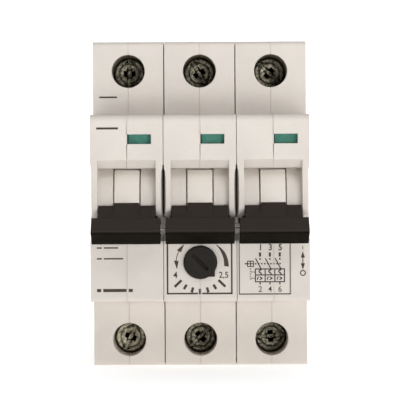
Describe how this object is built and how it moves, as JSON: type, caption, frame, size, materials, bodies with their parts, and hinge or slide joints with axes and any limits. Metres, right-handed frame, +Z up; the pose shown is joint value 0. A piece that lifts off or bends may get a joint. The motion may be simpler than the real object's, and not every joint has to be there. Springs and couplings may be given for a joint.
{
  "type": "motor protection breaker",
  "caption": "Rail-mounted motor protection breaker: side-by-side modules with joined toggle levers, status windows, a current setting dial and screw terminals.",
  "frame": {"origin": "on the seat that rests on the mounting rail, at the rail's centreline and the middle of the width", "axes": "+X to the right, +Y backwards into the panel, +Z up; the levers and the dial face -Y"},
  "size_m": [0.0524, 0.0755, 0.08],
  "materials": {
    "housing": "fine-grained light grey moulding",
    "toggle": "smooth light grey moulding",
    "lever": "black moulding with a satin sheen",
    "dial": "black moulding",
    "clip": "black moulding",
    "flag": "green and red printed flag",
    "zinc": "dull zinc-plated steel",
    "copper": "bare copper",
    "bimetal": "bare rolled strip",
    "steel": "bright steel"
  },
  "bodies": {
    "housing": {"pole_1_left_shell": "housing", "pole_1_right_shell": "housing", "pole_1_fixed_contact": "copper", "pole_1_arc_chute": "steel", "pole_1_trip_coil": "copper", "pole_1_bimetal_strip": "bimetal", "pole_2_left_shell": "housing", "pole_2_right_shell": "housing", "pole_2_fixed_contact": "copper", "pole_2_arc_chute": "steel", "pole_2_trip_coil": "copper", "pole_2_bimetal_strip": "bimetal", "pole_3_left_shell": "housing", "pole_3_right_shell": "housing", "pole_3_fixed_contact": "copper", "pole_3_arc_chute": "steel", "pole_3_trip_coil": "copper", "pole_3_bimetal_strip": "bimetal", "upper_rear_rivet": "steel", "lower_rear_rivet": "steel", "upper_front_rivet": "steel", "lower_front_rivet": "steel"},
    "handle": {"pole_1_toggle": "toggle", "pole_1_lever_cap": "lever", "pole_2_toggle": "toggle", "pole_2_lever_cap": "lever", "pole_3_toggle": "toggle", "pole_3_lever_cap": "lever", "lever_tie_pin": "steel"},
    "flag_1": {"pole_1_status_flag": "flag"},
    "flag_2": {"pole_2_status_flag": "flag"},
    "flag_3": {"pole_3_status_flag": "flag"},
    "contact_arm_1": {"pole_1_contact_arm": "copper"},
    "contact_arm_2": {"pole_2_contact_arm": "copper"},
    "contact_arm_3": {"pole_3_contact_arm": "copper"},
    "trip_bar": {"trip_bar": "lever"},
    "plunger_1": {"pole_1_trip_plunger": "steel"},
    "plunger_2": {"pole_2_trip_plunger": "steel"},
    "plunger_3": {"pole_3_trip_plunger": "steel"},
    "dial": {"current_dial": "dial"},
    "rail_clip_1": {"pole_1_rail_clip": "clip"},
    "rail_clip_2": {"pole_2_rail_clip": "clip"},
    "rail_clip_3": {"pole_3_rail_clip": "clip"},
    "upper_screw_1": {"pole_1_upper_terminal_screw": "zinc"},
    "upper_cage_1": {"pole_1_upper_clamp_cage": "zinc"},
    "upper_screw_2": {"pole_2_upper_terminal_screw": "zinc"},
    "upper_cage_2": {"pole_2_upper_clamp_cage": "zinc"},
    "upper_screw_3": {"pole_3_upper_terminal_screw": "zinc"},
    "upper_cage_3": {"pole_3_upper_clamp_cage": "zinc"},
    "lower_screw_1": {"pole_1_lower_terminal_screw": "zinc"},
    "lower_cage_1": {"pole_1_lower_clamp_cage": "zinc"},
    "lower_screw_2": {"pole_2_lower_terminal_screw": "zinc"},
    "lower_cage_2": {"pole_2_lower_clamp_cage": "zinc"},
    "lower_screw_3": {"pole_3_lower_terminal_screw": "zinc"},
    "lower_cage_3": {"pole_3_lower_clamp_cage": "zinc"}
  },
  "joints": [
    {"name": "handle_throw", "type": "hinge", "parent": "housing", "child": "handle", "pos_m": [0, -0.049, 0.002], "axis": [-1, 0, 0], "range_deg": [0, 42]},
    {"name": "flag_1_shift", "type": "slide", "parent": "housing", "child": "flag_1", "axis": [0, 0, 1], "range_m": [0, 0.00262]},
    {"name": "flag_2_shift", "type": "slide", "parent": "housing", "child": "flag_2", "axis": [0, 0, 1], "range_m": [0, 0.00262]},
    {"name": "flag_3_shift", "type": "slide", "parent": "housing", "child": "flag_3", "axis": [0, 0, 1], "range_m": [0, 0.00262]},
    {"name": "contact_arm_1_swing", "type": "hinge", "parent": "housing", "child": "contact_arm_1", "pos_m": [-0.0176, -0.034, -0.002], "axis": [-1, 0, 0], "range_deg": [0, 20.1]},
    {"name": "contact_arm_2_swing", "type": "hinge", "parent": "housing", "child": "contact_arm_2", "pos_m": [0, -0.034, -0.002], "axis": [-1, 0, 0], "range_deg": [0, 20.1]},
    {"name": "contact_arm_3_swing", "type": "hinge", "parent": "housing", "child": "contact_arm_3", "pos_m": [0.0176, -0.034, -0.002], "axis": [-1, 0, 0], "range_deg": [0, 20.1]},
    {"name": "trip_bar_turn", "type": "hinge", "parent": "housing", "child": "trip_bar", "pos_m": [0, -0.04, -0.012], "axis": [1, 0, 0], "range_deg": [0, 12], "stiffness_Nm_per_rad": 0.02},
    {"name": "plunger_1_strike", "type": "slide", "parent": "housing", "child": "plunger_1", "axis": [0, 1, 0], "range_m": [0, 0.0018], "stiffness_N_per_m": 30},
    {"name": "plunger_2_strike", "type": "slide", "parent": "housing", "child": "plunger_2", "axis": [0, 1, 0], "range_m": [0, 0.0018], "stiffness_N_per_m": 30},
    {"name": "plunger_3_strike", "type": "slide", "parent": "housing", "child": "plunger_3", "axis": [0, 1, 0], "range_m": [0, 0.0018], "stiffness_N_per_m": 30},
    {"name": "dial_turn", "type": "hinge", "parent": "housing", "child": "dial", "pos_m": [0, -0.0612, -0.01304], "axis": [0, 1, 0], "range_deg": [0, 92]},
    {"name": "rail_clip_1_slide", "type": "slide", "parent": "housing", "child": "rail_clip_1", "axis": [0, 0, -1], "range_m": [0, 0.0035]},
    {"name": "rail_clip_2_slide", "type": "slide", "parent": "housing", "child": "rail_clip_2", "axis": [0, 0, -1], "range_m": [0, 0.0035]},
    {"name": "rail_clip_3_slide", "type": "slide", "parent": "housing", "child": "rail_clip_3", "axis": [0, 0, -1], "range_m": [0, 0.0035]},
    {"name": "upper_screw_1_turn", "type": "hinge", "parent": "housing", "child": "upper_screw_1", "pos_m": [-0.0176, -0.0334, 0.0338], "axis": [0, 1, 0], "range_deg": [0, 2250.5]},
    {"name": "upper_cage_1_lift", "type": "slide", "parent": "housing", "child": "upper_cage_1", "axis": [0, -1, 0], "range_m": [0, 0.005]},
    {"name": "upper_screw_2_turn", "type": "hinge", "parent": "housing", "child": "upper_screw_2", "pos_m": [0, -0.0334, 0.0338], "axis": [0, 1, 0], "range_deg": [0, 2250.5]},
    {"name": "upper_cage_2_lift", "type": "slide", "parent": "housing", "child": "upper_cage_2", "axis": [0, -1, 0], "range_m": [0, 0.005]},
    {"name": "upper_screw_3_turn", "type": "hinge", "parent": "housing", "child": "upper_screw_3", "pos_m": [0.0176, -0.0334, 0.0338], "axis": [0, 1, 0], "range_deg": [0, 2250.5]},
    {"name": "upper_cage_3_lift", "type": "slide", "parent": "housing", "child": "upper_cage_3", "axis": [0, -1, 0], "range_m": [0, 0.005]},
    {"name": "lower_screw_1_turn", "type": "hinge", "parent": "housing", "child": "lower_screw_1", "pos_m": [-0.0176, -0.0334, -0.0325], "axis": [0, 1, 0], "range_deg": [0, 2250.5]},
    {"name": "lower_cage_1_lift", "type": "slide", "parent": "housing", "child": "lower_cage_1", "axis": [0, -1, 0], "range_m": [0, 0.005]},
    {"name": "lower_screw_2_turn", "type": "hinge", "parent": "housing", "child": "lower_screw_2", "pos_m": [0, -0.0334, -0.0325], "axis": [0, 1, 0], "range_deg": [0, 2250.5]},
    {"name": "lower_cage_2_lift", "type": "slide", "parent": "housing", "child": "lower_cage_2", "axis": [0, -1, 0], "range_m": [0, 0.005]},
    {"name": "lower_screw_3_turn", "type": "hinge", "parent": "housing", "child": "lower_screw_3", "pos_m": [0.0176, -0.0334, -0.0325], "axis": [0, 1, 0], "range_deg": [0, 2250.5]},
    {"name": "lower_cage_3_lift", "type": "slide", "parent": "housing", "child": "lower_cage_3", "axis": [0, -1, 0], "range_m": [0, 0.005]}
  ],
  "couplings": [
    {"joint": "flag_1_shift", "follows": "handle_throw", "m_per_rad": 0.0035469},
    {"joint": "flag_2_shift", "follows": "handle_throw", "m_per_rad": 0.0035469},
    {"joint": "flag_3_shift", "follows": "handle_throw", "m_per_rad": 0.0035469},
    {"joint": "contact_arm_1_swing", "follows": "handle_throw", "ratio": 0.47619},
    {"joint": "contact_arm_2_swing", "follows": "handle_throw", "ratio": 0.47619},
    {"joint": "contact_arm_3_swing", "follows": "handle_throw", "ratio": 0.47619},
    {"joint": "upper_screw_1_turn", "follows": "upper_cage_1_lift", "rad_per_m": 7854},
    {"joint": "upper_screw_2_turn", "follows": "upper_cage_2_lift", "rad_per_m": 7854},
    {"joint": "upper_screw_3_turn", "follows": "upper_cage_3_lift", "rad_per_m": 7854},
    {"joint": "lower_screw_1_turn", "follows": "lower_cage_1_lift", "rad_per_m": 7854},
    {"joint": "lower_screw_2_turn", "follows": "lower_cage_2_lift", "rad_per_m": 7854},
    {"joint": "lower_screw_3_turn", "follows": "lower_cage_3_lift", "rad_per_m": 7854}
  ]
}
